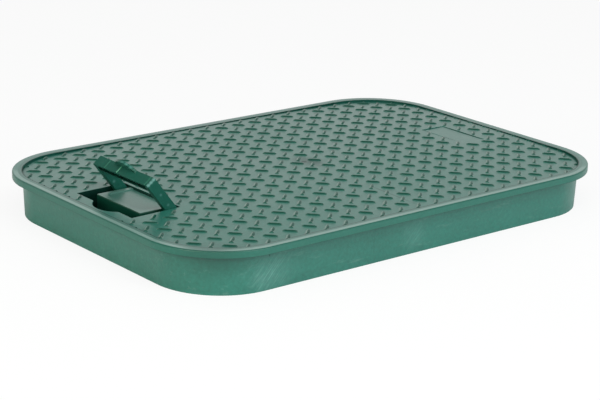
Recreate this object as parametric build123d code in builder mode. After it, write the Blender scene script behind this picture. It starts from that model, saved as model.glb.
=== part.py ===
"""Valve box lid: a moulded, crowned lid with bar treads and a fold-down lift handle.

Frame: millimetres, origin at the centre of the skirt's bottom plane, +X along the
lid with the handle near its -X end, +Z up.
"""
import math
import os

from build123d import *

os.makedirs("parts", exist_ok=True)

# Lid outline
LID_LENGTH = 420.6
LID_WIDTH = 292.2
LID_CORNER_RADIUS = 62.8
RIM_TOP_Z = 35.6
LIP_THICKNESS = 5.3
RIM_EDGE_RADIUS = 1.0
RIM_BAND_WIDTH = 7.8
LIP_Z = RIM_TOP_Z - LIP_THICKNESS

# Skirt that drops into the box
SKIRT_BOTTOM_LENGTH = 402.4
SKIRT_BOTTOM_WIDTH = 274.0
SKIRT_CORNER_RADIUS = 54.0
SKIRT_DRAFT = 2.4
SKIRT_WALL = 3.0

# Crowned panel: a different radius along each axis
CROWN_RADIUS_X = 10100.0
CROWN_RADIUS_Y = 4800.0
CROWN_REACH = 240.0
PANEL_APEX_Z = 37.0
PANEL_THICKNESS = 3.4
PANEL_ROOT = 0.7

# Stiffening ribs below the panel
RIB_THICKNESS = 2.2
RIB_BOTTOM_Z = 14.0
RIB_PITCH_X = 40.0
RIB_PITCH_Y = 53.4
RIB_COUNT_X = 9
RIB_COUNT_Y = 4

# Bar treads
TREAD_PITCH = 17.8
TREAD_LENGTH = 11.4
TREAD_WIDTH = 3.4
TREAD_RIDGE_LENGTH = 7.2
TREAD_HEIGHT = 0.9
TREAD_ROOT = 0.4
TREAD_RIM_GAP = 0.6
TREAD_RIM_OVERLAP = 0.5
TREAD_RIM_DROP = 0.2
TREAD_WELL_GAP = 0.3
TREAD_NOTCH_GAP = 3.5
TREAD_PLATE_GAP = 3.0

# Smooth marking plate between the treads, left bare
PLATE_X = 159.5
PLATE_Y = -2.5
PLATE_LENGTH_X = 25.0
PLATE_LENGTH_Y = 51.0
PLATE_RAISE = 0.35

# Handle well
WELL_FRONT_X = -191.7
WELL_BACK_X = -148.8
WELL_HALF_WIDTH = 37.0
WELL_FLOOR_Z = 14.0
WELL_FLOOR_THICKNESS = 2.5
WELL_SIDE_WALL = 4.0
WELL_BACK_WALL = 3.0
NOTCH_CHORD = 33.0
NOTCH_DEPTH = 8.0
NOTCH_Y = -3.0
NOTCH_BLEND = 4.0

# Tongue between the handle's legs
TONGUE_FRONT_X = -178.9
TONGUE_HALF_WIDTH = 28.5
TONGUE_TOP_Z = 34.3
TONGUE_FIELD_DEPTH = 0.8
TONGUE_BORDER = 4.2
TONGUE_FIELD_RADIUS = 6.0

# Lift handle
HINGE_X = -153.8
HINGE_Z = 32.0
HANDLE_REST_ANGLE = 52.4
HANDLE_REACH = 34.2
HANDLE_HALF_WIDTH = 36.4
HANDLE_THICKNESS = 8.5
LEG_WIDTH = 5.5
CROSSBAR_WIDTH = 7.5
HANDLE_CORNER_CUT = 1.5
HANDLE_WALL = 1.8
WEB_THICKNESS = 1.4
WEB_PITCH = 11.0
WEB_COUNT = 5
WEB_CENTRE_Y = -2.0
TAB_CHORD = 28.0
TAB_REACH = 6.7
TAB_THICKNESS = 2.2
TAB_Y = 0.2
TRUNNION_RADIUS = 2.5
TRUNNION_LENGTH = 2.6
TRUNNION_CLEARANCE = 0.08
SOCKET_END_CLEARANCE = 0.3

WELL_CENTRE_X = (WELL_FRONT_X + WELL_BACK_X) / 2
WELL_LENGTH = WELL_BACK_X - WELL_FRONT_X
PANEL_LENGTH = LID_LENGTH - 2 * RIM_BAND_WIDTH
PANEL_WIDTH = LID_WIDTH - 2 * RIM_BAND_WIDTH
PANEL_CORNER_RADIUS = LID_CORNER_RADIUS - RIM_BAND_WIDTH


def panel_z(x, y):
    """Height of the crowned panel's surface."""
    return PANEL_APEX_Z - x * x / (2 * CROWN_RADIUS_X) - y * y / (2 * CROWN_RADIUS_Y)


def crown_block(apex_z):
    """A block with a crowned top: an arc across the lid, swept along a wider arc down it."""
    swing = math.asin(CROWN_REACH / CROWN_RADIUS_X)
    centre_z = apex_z - CROWN_RADIUS_X
    first_section = Plane(
        origin=(-CROWN_REACH, 0, centre_z + CROWN_RADIUS_X * math.cos(swing)),
        x_dir=(0, 1, 0),
        z_dir=(math.cos(swing), 0, math.sin(swing)),
    )
    side_drop = CROWN_REACH * CROWN_REACH / (2 * CROWN_RADIUS_Y)
    with BuildPart() as block:
        with BuildSketch(first_section):
            with BuildLine():
                ThreePointArc((-CROWN_REACH, -side_drop), (0, 0), (CROWN_REACH, -side_drop))
                Polyline(
                    (CROWN_REACH, -side_drop),
                    (CROWN_REACH, -2 * RIM_TOP_Z),
                    (-CROWN_REACH, -2 * RIM_TOP_Z),
                    (-CROWN_REACH, -side_drop),
                )
            make_face()
        revolve(axis=Axis((0, 0, centre_z), (0, 1, 0)), revolution_arc=math.degrees(2 * swing))
    return block.part


# Crowned panel
with BuildPart() as panel:
    with BuildSketch(Plane.XY.offset(LIP_Z + PANEL_ROOT)):
        RectangleRounded(PANEL_LENGTH + 4, PANEL_WIDTH + 4, PANEL_CORNER_RADIUS + 2)
    extrude(amount=PANEL_APEX_Z - LIP_Z + 2)
    add(crown_block(PANEL_APEX_Z), mode=Mode.INTERSECT)

# Hollow under the panel, with the ribs and the handle well left standing in it
with BuildPart() as hollow:
    with BuildSketch():
        RectangleRounded(
            SKIRT_BOTTOM_LENGTH - 2 * SKIRT_WALL,
            SKIRT_BOTTOM_WIDTH - 2 * SKIRT_WALL,
            SKIRT_CORNER_RADIUS - SKIRT_WALL,
        )
    extrude(amount=PANEL_APEX_Z, taper=-SKIRT_DRAFT)
    add(crown_block(PANEL_APEX_Z - PANEL_THICKNESS), mode=Mode.INTERSECT)
    with BuildSketch(Plane.XY.offset(RIB_BOTTOM_Z)):
        with GridLocations(RIB_PITCH_X, 0, RIB_COUNT_X, 1):
            Rectangle(RIB_THICKNESS, LID_WIDTH)
        with GridLocations(0, RIB_PITCH_Y, 1, RIB_COUNT_Y):
            Rectangle(LID_LENGTH, RIB_THICKNESS)
    extrude(amount=RIM_TOP_Z, mode=Mode.SUBTRACT)
    with Locations((-LID_LENGTH / 2, 0, WELL_FLOOR_Z - WELL_FLOOR_THICKNESS)):
        Box(
            LID_LENGTH / 2 + WELL_BACK_X + WELL_BACK_WALL,
            2 * (WELL_HALF_WIDTH + WELL_SIDE_WALL),
            RIM_TOP_Z,
            align=(Align.MIN, Align.CENTER, Align.MIN),
            mode=Mode.SUBTRACT,
        )

# Pocket round the tongue, with the finger notch in its front edge
with BuildPart() as pocket:
    with BuildSketch(Plane.XY.offset(WELL_FLOOR_Z)) as pocket_outline:
        with Locations((WELL_CENTRE_X, 0)):
            Rectangle(WELL_LENGTH, 2 * WELL_HALF_WIDTH)
        with BuildLine():
            ThreePointArc(
                (WELL_FRONT_X, NOTCH_Y - NOTCH_CHORD / 2),
                (WELL_FRONT_X - NOTCH_DEPTH, NOTCH_Y),
                (WELL_FRONT_X, NOTCH_Y + NOTCH_CHORD / 2),
            )
            Line(
                (WELL_FRONT_X, NOTCH_Y + NOTCH_CHORD / 2),
                (WELL_FRONT_X, NOTCH_Y - NOTCH_CHORD / 2),
            )
        make_face()
        fillet(
            pocket_outline.vertices().filter_by_position(Axis.X, WELL_FRONT_X - 0.01, WELL_FRONT_X + 0.01)
            .filter_by_position(Axis.Y, -WELL_HALF_WIDTH + 1, WELL_HALF_WIDTH - 1),
            radius=NOTCH_BLEND,
        )
    extrude(amount=RIM_TOP_Z + 5 - WELL_FLOOR_Z)
    with Locations((TONGUE_FRONT_X, 0, WELL_FLOOR_Z)):
        Box(
            WELL_BACK_X - TONGUE_FRONT_X,
            2 * TONGUE_HALF_WIDTH,
            TONGUE_TOP_Z - WELL_FLOOR_Z,
            align=(Align.MIN, Align.CENTER, Align.MIN),
            mode=Mode.SUBTRACT,
        )
    with BuildSketch(Plane.XY.offset(TONGUE_TOP_Z)) as tongue_field:
        with Locations((TONGUE_FRONT_X + TONGUE_BORDER, 0)):
            Rectangle(
                WELL_BACK_X - TONGUE_FRONT_X - TONGUE_BORDER,
                2 * (TONGUE_HALF_WIDTH - TONGUE_BORDER),
                align=(Align.MIN, Align.CENTER),
            )
        fillet(tongue_field.vertices().sort_by(Axis.X)[:2], radius=TONGUE_FIELD_RADIUS)
    extrude(amount=-TONGUE_FIELD_DEPTH)
    # Blind sockets that the handle's trunnions snap into
    with BuildSketch(Plane.XZ.offset(-WELL_HALF_WIDTH)):
        with Locations((HINGE_X, HINGE_Z)):
            Circle(TRUNNION_RADIUS + TRUNNION_CLEARANCE)
    extrude(amount=-(HANDLE_HALF_WIDTH + TRUNNION_LENGTH + SOCKET_END_CLEARANCE - WELL_HALF_WIDTH))
    with BuildSketch(Plane.XZ.offset(WELL_HALF_WIDTH)):
        with Locations((HINGE_X, HINGE_Z)):
            Circle(TRUNNION_RADIUS + TRUNNION_CLEARANCE)
    extrude(amount=HANDLE_HALF_WIDTH + TRUNNION_LENGTH + SOCKET_END_CLEARANCE - WELL_HALF_WIDTH)

# One tread: a low ridged bar with hipped ends, rooted in the panel. Its sides run on
# below the panel at the same slopes
root_share = (TREAD_HEIGHT + TREAD_ROOT) / TREAD_HEIGHT
root_half_length = TREAD_RIDGE_LENGTH / 2 + (TREAD_LENGTH - TREAD_RIDGE_LENGTH) / 2 * root_share
root_half_width = TREAD_WIDTH / 2 * root_share
with BuildPart() as tread:
    with BuildSketch(Plane.XZ):
        with BuildLine():
            Polyline(
                (-root_half_length, -TREAD_ROOT),
                (-TREAD_RIDGE_LENGTH / 2, TREAD_HEIGHT),
                (TREAD_RIDGE_LENGTH / 2, TREAD_HEIGHT),
                (root_half_length, -TREAD_ROOT),
                close=True,
            )
        make_face()
    extrude(amount=root_half_width, both=True)
    with BuildSketch(Plane.YZ):
        with BuildLine():
            Polyline(
                (-root_half_width, -TREAD_ROOT),
                (0, TREAD_HEIGHT),
                (root_half_width, -TREAD_ROOT),
                close=True,
            )
        make_face()
    extrude(amount=root_half_length, both=True, mode=Mode.INTERSECT)


def inside_outline(x, y, margin):
    """Whether a point keeps the given margin from the panel's rounded outline."""
    corner = PANEL_CORNER_RADIUS
    dx = max(abs(x) - (PANEL_LENGTH / 2 - corner), 0)
    dy = max(abs(y) - (PANEL_WIDTH / 2 - corner), 0)
    return math.hypot(dx, dy) <= corner - margin


def is_clear(x, y):
    """Whether a tread at this place stands off the well, its notch and the plate."""
    reach = TREAD_LENGTH / 2 * math.sqrt(0.5)
    near_well = (
        WELL_FRONT_X - reach < x < WELL_BACK_X + TREAD_WELL_GAP + reach
        and abs(y) < WELL_HALF_WIDTH + TREAD_WELL_GAP + reach
    )
    near_notch = (
        x < WELL_FRONT_X
        and abs(y - NOTCH_Y) < NOTCH_CHORD / 2 + NOTCH_BLEND + TREAD_NOTCH_GAP
    )
    near_plate = (
        abs(x - PLATE_X) < PLATE_LENGTH_X / 2 + TREAD_PLATE_GAP
        and abs(y - PLATE_Y) < PLATE_LENGTH_Y / 2 + TREAD_PLATE_GAP
    )
    return not near_well and not near_notch and not near_plate


# Whole treads, and those that the rim or the well cuts short
tread_places = []
edge_places = []
for column in range(-12, 13):
    for row in range(-9, 10):
        for shift_x, shift_y, turn in ((TREAD_PITCH / 2, 0, -45), (0, TREAD_PITCH / 2, 45)):
            x = column * TREAD_PITCH + shift_x
            y = row * TREAD_PITCH + shift_y
            along_x = TREAD_LENGTH / 2 * math.cos(math.radians(turn))
            along_y = TREAD_LENGTH / 2 * math.sin(math.radians(turn))
            ends = [inside_outline(x + side * along_x, y + side * along_y, TREAD_RIM_GAP) for side in (-1, 1)]
            if not is_clear(x, y) or not any(ends):
                continue
            place = Location((x, y, panel_z(x, y)), (0, 0, turn))
            if all(ends) and not (x < WELL_FRONT_X and abs(y) < WELL_HALF_WIDTH):
                tread_places.append(place)
            else:
                edge_places.append(place)

with BuildPart() as edge_treads:
    with Locations(*edge_places):
        add(tread.part)
    with BuildSketch(Plane.XY):
        RectangleRounded(
            PANEL_LENGTH + 2 * TREAD_RIM_OVERLAP,
            PANEL_WIDTH + 2 * TREAD_RIM_OVERLAP,
            PANEL_CORNER_RADIUS + TREAD_RIM_OVERLAP,
        )
    extrude(amount=RIM_TOP_Z - TREAD_RIM_DROP, mode=Mode.INTERSECT)
    add(pocket.part, mode=Mode.SUBTRACT)

# Lid: skirt, lip and rim, crowned panel, treads
with BuildPart() as lid:
    with BuildSketch():
        RectangleRounded(SKIRT_BOTTOM_LENGTH, SKIRT_BOTTOM_WIDTH, SKIRT_CORNER_RADIUS)
    extrude(amount=LIP_Z + 1, taper=-SKIRT_DRAFT)
    with BuildSketch(Plane.XY.offset(LIP_Z)):
        RectangleRounded(LID_LENGTH, LID_WIDTH, LID_CORNER_RADIUS)
    extrude(amount=LIP_THICKNESS)
    fillet(lid.faces().sort_by(Axis.Z)[-1].edges(), radius=RIM_EDGE_RADIUS)
    with BuildSketch(Plane.XY.offset(RIM_TOP_Z)):
        RectangleRounded(PANEL_LENGTH, PANEL_WIDTH, PANEL_CORNER_RADIUS)
    extrude(amount=-(LIP_THICKNESS - 1), mode=Mode.SUBTRACT)
    add(panel.part)
    add(hollow.part, mode=Mode.SUBTRACT)
    add(pocket.part, mode=Mode.SUBTRACT)
    with BuildSketch(Plane.XY.offset(panel_z(PLATE_X, PLATE_Y) + PLATE_RAISE)):
        with Locations((PLATE_X, PLATE_Y)):
            Rectangle(PLATE_LENGTH_X, PLATE_LENGTH_Y)
    extrude(amount=-1.2)
    with Locations(*tread_places):
        add(tread.part)
    add(edge_treads.part)

# Handle, drawn in a plane that stands at its raised angle: local X runs from the
# hinge to the crossbar, local Y along the hinge, local Z towards its top face
rest = math.radians(HANDLE_REST_ANGLE)
handle_plane = Plane(
    origin=(HINGE_X, 0, HINGE_Z),
    x_dir=(-math.cos(rest), 0, math.sin(rest)),
    z_dir=(math.sin(rest), 0, math.cos(rest)),
)
leg_plane = Plane(handle_plane.origin, x_dir=handle_plane.x_dir, z_dir=(0, -1, 0))
half_t = HANDLE_THICKNESS / 2
web_start = WEB_CENTRE_Y - WEB_PITCH * (WEB_COUNT - 1) / 2

with BuildPart() as lift_handle:
    # Plan: two legs and the crossbar, with the outer corners cut
    with BuildSketch(handle_plane.offset(-half_t)):
        with BuildLine():
            Polyline(
                (-half_t, -HANDLE_HALF_WIDTH),
                (HANDLE_REACH - HANDLE_CORNER_CUT, -HANDLE_HALF_WIDTH),
                (HANDLE_REACH, -HANDLE_HALF_WIDTH + HANDLE_CORNER_CUT),
                (HANDLE_REACH, HANDLE_HALF_WIDTH - HANDLE_CORNER_CUT),
                (HANDLE_REACH - HANDLE_CORNER_CUT, HANDLE_HALF_WIDTH),
                (-half_t, HANDLE_HALF_WIDTH),
                (-half_t, HANDLE_HALF_WIDTH - LEG_WIDTH),
                (HANDLE_REACH - CROSSBAR_WIDTH, HANDLE_HALF_WIDTH - LEG_WIDTH),
                (HANDLE_REACH - CROSSBAR_WIDTH, -HANDLE_HALF_WIDTH + LEG_WIDTH),
                (-half_t, -HANDLE_HALF_WIDTH + LEG_WIDTH),
                close=True,
            )
        make_face()
    extrude(amount=HANDLE_THICKNESS)
    # Side profile: the legs end in a round about the hinge
    with BuildSketch(leg_plane):
        with BuildLine():
            ThreePointArc((0, half_t), (-half_t, 0), (0, -half_t))
            Polyline((0, -half_t), (HANDLE_REACH, -half_t), (HANDLE_REACH, half_t), (0, half_t))
        make_face()
    extrude(amount=HANDLE_HALF_WIDTH, both=True, mode=Mode.INTERSECT)
    # Channel on the crossbar's underside, crossed by short webs
    with BuildSketch(handle_plane.offset(-half_t)):
        with Locations((HANDLE_REACH - CROSSBAR_WIDTH / 2, 0)):
            Rectangle(CROSSBAR_WIDTH - 2 * HANDLE_WALL, 2 * (HANDLE_HALF_WIDTH - LEG_WIDTH))
        with Locations((HANDLE_REACH - CROSSBAR_WIDTH / 2, web_start)):
            with Locations(*[(0, index * WEB_PITCH) for index in range(WEB_COUNT)]):
                Rectangle(CROSSBAR_WIDTH, WEB_THICKNESS, mode=Mode.SUBTRACT)
    extrude(amount=HANDLE_THICKNESS - HANDLE_WALL, mode=Mode.SUBTRACT)
    # Finger tab on the crossbar's top edge
    with BuildSketch(handle_plane.offset(half_t)):
        with BuildLine():
            ThreePointArc(
                (HANDLE_REACH, TAB_Y - TAB_CHORD / 2),
                (HANDLE_REACH + TAB_REACH, TAB_Y),
                (HANDLE_REACH, TAB_Y + TAB_CHORD / 2),
            )
            Polyline(
                (HANDLE_REACH, TAB_Y + TAB_CHORD / 2),
                (HANDLE_REACH - 1, TAB_Y + TAB_CHORD / 2),
                (HANDLE_REACH - 1, TAB_Y - TAB_CHORD / 2),
                (HANDLE_REACH, TAB_Y - TAB_CHORD / 2),
            )
        make_face()
    extrude(amount=-TAB_THICKNESS)
    # Trunnions
    with BuildSketch(leg_plane.offset(HANDLE_HALF_WIDTH)):
        Circle(TRUNNION_RADIUS)
    extrude(amount=TRUNNION_LENGTH)
    with BuildSketch(leg_plane.offset(-HANDLE_HALF_WIDTH)):
        Circle(TRUNNION_RADIUS)
    extrude(amount=-TRUNNION_LENGTH)

lid.part.label = "lid"
lift_handle.part.label = "lift_handle"
export_step(lid.part, "parts/lid.step")
export_step(lift_handle.part, "parts/lift_handle.step")
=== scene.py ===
"""Looks for a moulded valve box lid: plastic, treads, moulding marks, and painted shade and highlights round
the CAD frame.
"""
import math

import bpy
from mathutils import Matrix, Vector


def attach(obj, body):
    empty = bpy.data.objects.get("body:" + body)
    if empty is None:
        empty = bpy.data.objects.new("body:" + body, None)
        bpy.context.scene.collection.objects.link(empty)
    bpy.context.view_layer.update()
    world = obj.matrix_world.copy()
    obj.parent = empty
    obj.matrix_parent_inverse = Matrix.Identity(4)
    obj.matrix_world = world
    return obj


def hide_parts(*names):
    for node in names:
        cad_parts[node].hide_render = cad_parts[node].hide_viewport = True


bl_info = {
    "name": "Valve Box Lid",
    "version": (1, 0, 0),
    "blender": (4, 5, 0),
    "location": "View3D > Sidebar > Valve Box Lid",
    "description": "Dresses a valve box lid's CAD frame and sets up a plain studio",
    "category": "Add Mesh",
}

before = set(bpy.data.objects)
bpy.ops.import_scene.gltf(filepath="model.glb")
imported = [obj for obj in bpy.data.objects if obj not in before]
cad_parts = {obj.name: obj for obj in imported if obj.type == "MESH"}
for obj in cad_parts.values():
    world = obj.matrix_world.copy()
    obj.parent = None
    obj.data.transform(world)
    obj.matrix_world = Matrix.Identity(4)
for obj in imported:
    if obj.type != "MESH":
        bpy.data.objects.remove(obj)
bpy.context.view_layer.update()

MM = 0.001

# The crowned panel, its well and tongue, and the handle, as the CAD source has them
CROWN_RADIUS_X = 10.100
CROWN_RADIUS_Y = 4.800
PANEL_APEX_Z = 0.0370
PANEL_HALF = (0.2025, 0.1383)
PANEL_CORNER = 0.055
WELL_FRONT_X = -0.1917
WELL_BACK_X = -0.1488
WELL_HALF_WIDTH = 0.0370
TONGUE_FRONT_X = -0.1789
TONGUE_HALF_WIDTH = 0.0285
TONGUE_TOP_Z = 0.0343
NOTCH_Y = -3.0 * MM
HINGE = (-0.1538, 0.0, 0.0320)
REST_ANGLE = 52.4
HANDLE_REACH = 0.0342
HANDLE_THICKNESS = 0.0085

# The blank plate, and how far the shell's copy of it is set down
PLATE_CENTRE = (0.1595, -0.0025)
PLATE_SIZE = (0.025, 0.051)
PLATE_SINK = 0.00105
PLATE_PICK_MARGIN = 0.4 * MM
PLATE_PICK_RISE = 0.2 * MM
PLATE_TONE_MARGIN = 0.8 * MM

# Joining up a CAD node's facets and rounding its edges
MERGE_DISTANCE = 0.000004
FLAT_ANGLE = 0.4
SMOOTH_ANGLE = 30.0
CREASE_ANGLES = (15.0, 29.5)
CREASE_MIN_AREA = 1.5e-6
BEVEL_ANGLE = 60.0

# Where bars stand, and the height, length and width shares of one bar's three levels
BAR_COLUMNS = range(-12, 13)
BAR_ROWS = range(-9, 10)
BAR_WELL_GAP = 0.3 * MM
BAR_NOTCH_GAP = 24.0 * MM
BAR_PLATE_GAP = 3.0 * MM
BAR_FRONT_GAP = 0.2 * MM
BAR_STEPS = 20
BAR_SHORTEST = 1.2 * MM
BAR_ROOT = 0.4 * MM
BAR_SIDES = 14
BAR_BODY = 0.94
BAR_TIP_FROM = 0.46
BAR_TIP = 1.06
BAR_LEVELS = ((0.30, 0.97, 0.92), (0.40, 0.86, 0.62), (0.30, 0.80, 0.30))
BAR_SMOOTH_ANGLE = 40.0
STUB_SHARE = 0.6
STUB_SINK = 0.25 * MM

# Thin lines across the handle's crossbar: place along it, width, how proud, colour; their colours, paler
# than the handle's, are painted highlights
WITNESS_LINES = (
    (0.0042, 0.0009, 0.00025, (0.110, 0.360, 0.230)),
    (0.0203, 0.0005, 0.00012, (0.030, 0.180, 0.110)),
    (-0.0325, 0.0005, 0.00012, (0.030, 0.180, 0.110)),
)
LINE_DEPTH = 0.6 * MM
LINE_END_GAP = 0.9 * MM
LINE_EDGE = 0.12 * MM

# Marks on the lid and handle, in millimetres: centre, half size, power, hard core, strength, raggedness;
# among them are painted shade and painted highlights, and the handle's are all painted highlights
DARK_MARKS_AND_SHADES = (
    # Painted shade along the sunk plate's far and left edges
    ("plate_far_edge_shade", (171.6, -2.5, 35.8), (0.6, 25.6, 3.0), 12.0, 0.5, 0.75, 0.1),
    ("plate_left_edge_shade", (159.5, 22.5, 35.8), (12.4, 0.6, 3.0), 12.0, 0.5, 0.65, 0.1),
    ("blush", (3.0, -1.0, 37.0), (16.0, 24.0, 9.0), 2.0, 0.15, 0.62, 0.6),
    ("gate", (-1.0, 1.0, 37.0), (3.2, 3.2, 6.0), 2.0, 0.55, 0.95, 0.2),
    ("flow_line", (0.5, -100.0, 36.0), (0.9, 36.0, 9.0), 2.0, 0.2, 0.60, 0.9),
    ("nick", (-144.6, -137.6, 27.0), (1.0, 3.0, 2.4), 2.0, 0.5, 0.85, 0.6),
    # Painted shadows along the near and front edges of the tongue's field
    ("field_near_shadow", (-164.0, -23.8, 33.6), (10.4, 0.5, 0.7), 12.0, 0.6, 0.45, 0.0),
    ("field_front_shadow", (-174.2, 0.0, 33.6), (0.5, 21.0, 0.7), 12.0, 0.6, 0.45, 0.0),
    # Painted shade at the near corner
    ("corner_shade", (-192.0, -130.0, 27.0), (46.0, 30.0, 22.0), 2.0, 0.0, 0.45, 0.0),
    ("sink_line", (-46.8, -138.0, 15.0), (0.9, 6.0, 22.0), 2.0, 0.1, 0.22, 0.2),
)
PALE_MARKS_AND_HIGHLIGHTS = (
    ("side_scuff", (-142.0, -138.0, 12.0), (30.0, 12.0, 19.0), 2.0, 0.1, 0.45, 0.7),
    ("side_patch", (-8.0, -138.0, 14.0), (16.0, 12.0, 16.0), 2.0, 0.1, 0.30, 0.7),
    # Painted highlights along the sunk plate's near and right edges
    ("plate_near_edge_highlight", (146.7, -2.5, 35.9), (0.4, 26.0, 3.0), 12.0, 0.5, 0.4, 0.1),
    ("plate_right_edge_highlight", (159.5, -28.3, 35.9), (13.0, 0.4, 3.0), 12.0, 0.5, 0.4, 0.1),
    ("corner_patch", (-150.0, -128.0, 8.0), (18.0, 22.0, 12.0), 2.0, 0.1, 0.30, 0.7),
)
# Painted highlights on the handle's corner, legs and tab
HANDLE_HIGHLIGHTS = (
    ("corner_glint_low", (-176.6, -35.9, 56.8), (2.2, 1.3, 2.4), 2.0, 0.2, 0.45, 0.0),
    ("corner_glint_mid", (-174.2, -35.9, 58.6), (2.4, 1.3, 2.4), 2.0, 0.2, 0.45, 0.0),
    ("corner_glint_high", (-171.8, -35.9, 60.4), (2.2, 1.3, 2.4), 2.0, 0.2, 0.45, 0.0),
    ("leg_highlight_high", (-165.9, -36.4, 47.8), (1.6, 1.0, 1.6), 2.0, 0.0, 0.28, 0.0),
    ("leg_highlight_low", (-159.4, -36.4, 39.0), (1.6, 1.0, 1.6), 2.0, 0.0, 0.28, 0.0),
    ("tab_glint_top", (-176.2, -1.5, 66.3), (2.0, 3.2, 1.5), 2.0, 0.1, 0.30, 0.0),
    ("tab_glint_mid", (-175.5, -6.0, 65.5), (2.0, 3.0, 1.7), 2.0, 0.1, 0.38, 0.0),
    ("tab_glint_low", (-174.2, -9.6, 63.7), (2.0, 2.8, 1.9), 2.0, 0.1, 0.35, 0.0),
    ("inner_highlight", (-162.2, 30.9, 40.7), (2.0, 1.2, 2.0), 2.0, 0.0, 0.28, 0.0),
)
# Tones: of dark marks and painted shade, of pale marks and painted highlights, of the handle's painted
# highlights, and of scratches
DARK_MARK_AND_SHADE_TONE = (0.004, 0.040, 0.030)
PALE_MARK_AND_HIGHLIGHT_TONE = (0.16, 0.34, 0.30)
HANDLE_HIGHLIGHT_TONE = (0.16, 0.36, 0.34)
SCRATCH_TONE = (0.30, 0.42, 0.38)

# Painted shade in zones round the rim and the lip, from the panel outwards and then down: the limits that
# bound each, as (measure, mask is 0 at, mask is 1 at) in millimetres, then its strength and its tone
PAST_OUTLINE, UP = "distance past the panel's outline", "height up Z"
RIM_SHADES = (
    ("wall", (
        (PAST_OUTLINE, -0.30, -0.05), (PAST_OUTLINE, 0.60, 0.40), (UP, 35.75, 35.60), (UP, 30.8, 31.2),
    ), 0.95, (0.001, 0.024, 0.018)),
    ("foot", (
        (PAST_OUTLINE, -1.9, -0.6), (PAST_OUTLINE, 0.02, -0.02), (UP, 30.8, 31.2),
    ), 0.80, (0.008, 0.070, 0.050)),
    ("edge", ((PAST_OUTLINE, 6.9, 7.15), (UP, 34.35, 34.65)), 0.8, (0.006, 0.080, 0.056)),
    ("rim_inside", (
        (PAST_OUTLINE, 0.4, 0.6), (PAST_OUTLINE, 3.6, 2.8), (UP, 35.4, 35.5),
    ), 0.35, (0.010, 0.085, 0.062)),
    ("under_lip", (
        (UP, 22.5, 31.0), (UP, 30.6, 30.35), (PAST_OUTLINE, -2.2, -1.6),
    ), 0.70, (0.006, 0.050, 0.040)),
    ("crease", (
        (UP, 28.2, 29.2), (UP, 30.6, 30.35), (PAST_OUTLINE, -2.2, -1.6),
    ), 0.75, (0.003, 0.026, 0.020)),
    ("lip_side", ((PAST_OUTLINE, 7.2, 7.5), (UP, 30.4, 30.6)), 0.55, (0.008, 0.095, 0.066)),
)
# A painted highlight on the rim's top, strongest along the two near sides
RIM_TOP = ((PAST_OUTLINE, 3.0, 3.6), (PAST_OUTLINE, 6.9, 6.6), (UP, 35.4, 35.5))
RIM_TOP_HIGHLIGHT_TONE = (0.20, 0.33, 0.29)
RIM_TOP_HIGHLIGHT_SHARE = 0.12
NEAR_RIM_HIGHLIGHT_SHARE = 0.60
NEAR_END_X = (-0.196, -0.203)
NEAR_SIDE_Y = (-0.130, -0.137)
SKIRT = ((UP, 30.4, 30.1),)
SKIRT_DULLNESS = 0.45

# Painted shade on the treads' places on the shell, in the well, on the tongue's sides and in the handle's
# channel; painted highlights on the tongue's top and border
ZONE_BLUR = 0.2 * MM
TREAD_TONE = (0.008, 0.074, 0.049)
TREAD_TONE_SHARE = 0.9
TREAD_TONE_INSIDE = (-0.4 * MM, -0.9 * MM)
TREAD_TONE_RISE = (0.05 * MM, 0.22 * MM)
WELL_NEAR_X = -0.2000
WELL_MARGIN = 0.2 * MM
WELL_FLOOR_STEP = (0.0128, 0.0130)
WELL_BELOW_CROWN = (-0.15 * MM, -0.35 * MM)
WELL_SHADE_TONE = (0.001, 0.012, 0.008)
WELL_SHARE = 0.9
TONGUE_BACK_GAP = 0.4 * MM
TONGUE_SKIN = (0.5 * MM, 0.3 * MM)
TONGUE_SIDE_BELOW = 0.3 * MM
TONGUE_TOP_BAND = (1.0 * MM, 0.8 * MM)
TONGUE_BORDER_BAND = (0.3 * MM, 0.1 * MM)
TONGUE_SIDE_SHADE_TONE = (0.002, 0.036, 0.020)
TONGUE_SIDE_SHARE = 0.88
TONGUE_TOP_HIGHLIGHT_TONE = (0.16, 0.24, 0.21)
TONGUE_TOP_SHARE = 0.22
TONGUE_BORDER_HIGHLIGHT_TONE = (0.12, 0.22, 0.19)
TONGUE_BORDER_SHARE = 0.35
CHANNEL_SHADE_TONE = (0.001, 0.010, 0.007)
CHANNEL_SHARE = 0.85
CHANNEL_BACK = (5.9 * MM, 1.7 * MM)
CHANNEL_HALF_WIDTH = 31.0 * MM
CHANNEL_DEPTH = (2.7 * MM, 2.5 * MM)
CHANNEL_BLUR = 0.1 * MM

# Painted highlights and shade on the bars' flanks: direction that a flank faces, mask is 0 at, mask is 1 at,
# strength, tone
LIT_AND_SHADED_FLANKS = (
    ("pale", (-0.707, 0.707, 0.0), 0.14, 0.40, 0.46, (0.26, 0.40, 0.35)),
    ("dark", (0.707, -0.707, 0.0), 0.14, 0.40, 0.80, (0.003, 0.060, 0.042)),
    ("near", (-0.707, -0.707, 0.0), 0.10, 0.35, 0.45, (0.002, 0.040, 0.026)),
)

# How much less the dull places shine, and the bump of the skin's grain
DULLING = 0.85
GRAIN_STRENGTH = 0.5
GRAIN_DEPTH = 0.2 * MM

# The stage: floor, what the sky shows to reflections, lamps and the photograph's camera
FLOOR_SIZE = 40.0
FLOOR_ROUGHNESS = 0.9
FLOOR_SHINE = 0.1
FLOOR_GLOW = 0.87
CEILING_BAND = (0.30, 0.62)
WHITE = (1.0, 1.0, 1.0, 1.0)
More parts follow.
